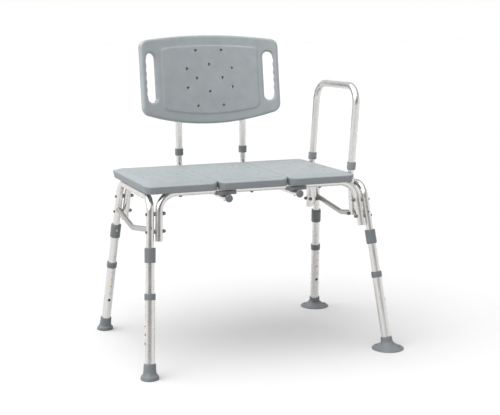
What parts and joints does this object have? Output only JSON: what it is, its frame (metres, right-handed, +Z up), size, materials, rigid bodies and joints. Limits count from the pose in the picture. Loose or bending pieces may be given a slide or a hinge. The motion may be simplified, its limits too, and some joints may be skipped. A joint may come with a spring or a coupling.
{
  "type": "bath transfer bench",
  "caption": "Bath transfer bench with a panelled moulded seat, curved backrest, side arm rail and splayed telescoping legs on rubber tips and suction feet.",
  "frame": {"origin": "middle of the bounding box, on the floor that the feet stand on", "axes": "+Z up, +X towards the end with the arm rail, +Y towards the backrest"},
  "size_m": [0.8326, 0.6426, 0.9499],
  "materials": {
    "polished_tube": "bright satin anodised",
    "brace_tube": "plain satin",
    "fastener": "plated",
    "seat_plastic": "fine grained, blow moulded",
    "back_plastic": "fine grained, blow moulded",
    "collar_plastic": "moulded",
    "grey_plastic": "moulded",
    "foot_rubber": "matt grey",
    "button_brass": "dull"
  },
  "bodies": {
    "frame": {"end_frame_left": "polished_tube", "end_frame_right": "polished_tube", "brace_left": "brace_tube", "brace_right": "brace_tube", "front_rail": "polished_tube", "rear_rail": "polished_tube", "arm_stub_front": "polished_tube", "arm_stub_rear": "polished_tube", "rail_bolts": "fastener", "rail_nuts": "fastener", "arm_bolts": "fastener", "arm_nuts": "fastener", "tube_spacers": "grey_plastic", "seat_panel_left": "seat_plastic", "seat_panel_middle": "seat_plastic", "seat_panel_right": "seat_plastic", "under_seat_screws": "fastener", "backrest_saddles": "grey_plastic", "backrest_tube_left": "polished_tube", "backrest_tube_right": "polished_tube", "backrest_plugs": "collar_plastic"},
    "upper_leg_front_left": {"upper_leg_front_left": "polished_tube", "upper_collar_front_left": "collar_plastic"},
    "lower_leg_front_left": {"lower_leg_front_left": "polished_tube", "lower_collar_front_left": "collar_plastic", "foot_front_left": "foot_rubber"},
    "top_button_front_left": {"top_button_front_left": "button_brass"},
    "height_button_front_left": {"height_button_front_left": "button_brass"},
    "upper_leg_rear_left": {"upper_leg_rear_left": "polished_tube", "upper_collar_rear_left": "collar_plastic"},
    "lower_leg_rear_left": {"lower_leg_rear_left": "polished_tube", "lower_collar_rear_left": "collar_plastic", "foot_rear_left": "foot_rubber"},
    "top_button_rear_left": {"top_button_rear_left": "button_brass"},
    "height_button_rear_left": {"height_button_rear_left": "button_brass"},
    "upper_leg_front_right": {"upper_leg_front_right": "polished_tube", "upper_collar_front_right": "collar_plastic"},
    "lower_leg_front_right": {"lower_leg_front_right": "polished_tube", "lower_collar_front_right": "collar_plastic", "foot_front_right": "foot_rubber"},
    "top_button_front_right": {"top_button_front_right": "button_brass"},
    "height_button_front_right": {"height_button_front_right": "button_brass"},
    "upper_leg_rear_right": {"upper_leg_rear_right": "polished_tube", "upper_collar_rear_right": "collar_plastic"},
    "lower_leg_rear_right": {"lower_leg_rear_right": "polished_tube", "lower_collar_rear_right": "collar_plastic", "foot_rear_right": "foot_rubber"},
    "top_button_rear_right": {"top_button_rear_right": "button_brass"},
    "height_button_rear_right": {"height_button_rear_right": "button_brass"},
    "upper_back": {"back_post_left": "polished_tube", "back_post_right": "polished_tube", "back_collars": "collar_plastic", "back_panel": "back_plastic", "back_screws": "fastener"},
    "back_button_left": {"back_button_left": "button_brass"},
    "back_button_right": {"back_button_right": "button_brass"},
    "arm_rail": {"arm_rail": "polished_tube", "arm_collars": "collar_plastic"},
    "arm_button_front": {"arm_button_front": "button_brass"},
    "arm_button_rear": {"arm_button_rear": "button_brass"}
  },
  "joints": [
    {"name": "front_left_leg_release", "type": "slide", "parent": "frame", "child": "upper_leg_front_left", "axis": [-0.0801, -0.1992, -0.9767], "range_m": [0, 0.072], "deforming": ["top_button_front_left"]},
    {"name": "front_left_height", "type": "slide", "parent": "upper_leg_front_left", "child": "lower_leg_front_left", "axis": [-0.0801, -0.1992, -0.9767], "range_m": [-0.0508, 0.0508], "deforming": ["height_button_front_left"]},
    {"name": "top_button_front_left_press", "type": "slide", "parent": "frame", "child": "top_button_front_left", "axis": [0.0163, -0.98, 0.1986], "range_m": [0, 0.006], "stiffness_N_per_m": 900, "springref_m": -0.002},
    {"name": "height_button_front_left_press", "type": "slide", "parent": "upper_leg_front_left", "child": "height_button_front_left", "axis": [0.9968, -0.016, -0.0785], "range_m": [0, 0.005], "stiffness_N_per_m": 900, "springref_m": -0.002},
    {"name": "rear_left_leg_release", "type": "slide", "parent": "frame", "child": "upper_leg_rear_left", "axis": [-0.0801, 0.1992, -0.9767], "range_m": [0, 0.072], "deforming": ["top_button_rear_left"]},
    {"name": "rear_left_height", "type": "slide", "parent": "upper_leg_rear_left", "child": "lower_leg_rear_left", "axis": [-0.0801, 0.1992, -0.9767], "range_m": [-0.0508, 0.0508], "deforming": ["height_button_rear_left"]},
    {"name": "top_button_rear_left_press", "type": "slide", "parent": "frame", "child": "top_button_rear_left", "axis": [0.0163, 0.98, 0.1986], "range_m": [0, 0.006], "stiffness_N_per_m": 900, "springref_m": -0.002},
    {"name": "height_button_rear_left_press", "type": "slide", "parent": "upper_leg_rear_left", "child": "height_button_rear_left", "axis": [0.0163, 0.98, 0.1986], "range_m": [0, 0.005], "stiffness_N_per_m": 900, "springref_m": -0.002},
    {"name": "front_right_leg_release", "type": "slide", "parent": "frame", "child": "upper_leg_front_right", "axis": [0.0801, -0.1992, -0.9767], "range_m": [0, 0.072], "deforming": ["top_button_front_right"]},
    {"name": "front_right_height", "type": "slide", "parent": "upper_leg_front_right", "child": "lower_leg_front_right", "axis": [0.0801, -0.1992, -0.9767], "range_m": [-0.0508, 0.0508], "deforming": ["height_button_front_right"]},
    {"name": "top_button_front_right_press", "type": "slide", "parent": "frame", "child": "top_button_front_right", "axis": [-0.0163, -0.98, 0.1986], "range_m": [0, 0.006], "stiffness_N_per_m": 900, "springref_m": -0.002},
    {"name": "height_button_front_right_press", "type": "slide", "parent": "upper_leg_front_right", "child": "height_button_front_right", "axis": [-0.9968, -0.016, -0.0785], "range_m": [0, 0.005], "stiffness_N_per_m": 900, "springref_m": -0.002},
    {"name": "rear_right_leg_release", "type": "slide", "parent": "frame", "child": "upper_leg_rear_right", "axis": [0.0801, 0.1992, -0.9767], "range_m": [0, 0.072], "deforming": ["top_button_rear_right"]},
    {"name": "rear_right_height", "type": "slide", "parent": "upper_leg_rear_right", "child": "lower_leg_rear_right", "axis": [0.0801, 0.1992, -0.9767], "range_m": [-0.0508, 0.0508], "deforming": ["height_button_rear_right"]},
    {"name": "top_button_rear_right_press", "type": "slide", "parent": "frame", "child": "top_button_rear_right", "axis": [-0.9968, 0.016, -0.0785], "range_m": [0, 0.006], "stiffness_N_per_m": 900, "springref_m": -0.002},
    {"name": "height_button_rear_right_press", "type": "slide", "parent": "upper_leg_rear_right", "child": "height_button_rear_right", "axis": [-0.0163, 0.98, 0.1986], "range_m": [0, 0.005], "stiffness_N_per_m": 900, "springref_m": -0.002},
    {"name": "backrest_lift", "type": "slide", "parent": "frame", "child": "upper_back", "axis": [0, 0, 1], "range_m": [0, 0.096], "deforming": ["back_button_left", "back_button_right"]},
    {"name": "back_button_left_press", "type": "slide", "parent": "frame", "child": "back_button_left", "axis": [0, -1, 0], "range_m": [0, 0.0046], "stiffness_N_per_m": 900, "springref_m": -0.002},
    {"name": "back_button_right_press", "type": "slide", "parent": "frame", "child": "back_button_right", "axis": [0, -1, 0], "range_m": [0, 0.0046], "stiffness_N_per_m": 900, "springref_m": -0.002},
    {"name": "arm_rail_lift", "type": "slide", "parent": "frame", "child": "arm_rail", "axis": [0.0721, 0, 0.9974], "range_m": [0, 0.1], "deforming": ["arm_button_front", "arm_button_rear"]},
    {"name": "arm_button_front_press", "type": "slide", "parent": "frame", "child": "arm_button_front", "axis": [0, -1, 0], "range_m": [0, 0.0046], "stiffness_N_per_m": 900, "springref_m": -0.002},
    {"name": "arm_button_rear_press", "type": "slide", "parent": "frame", "child": "arm_button_rear", "axis": [0, -1, 0], "range_m": [0, 0.0046], "stiffness_N_per_m": 900, "springref_m": -0.002}
  ]
}
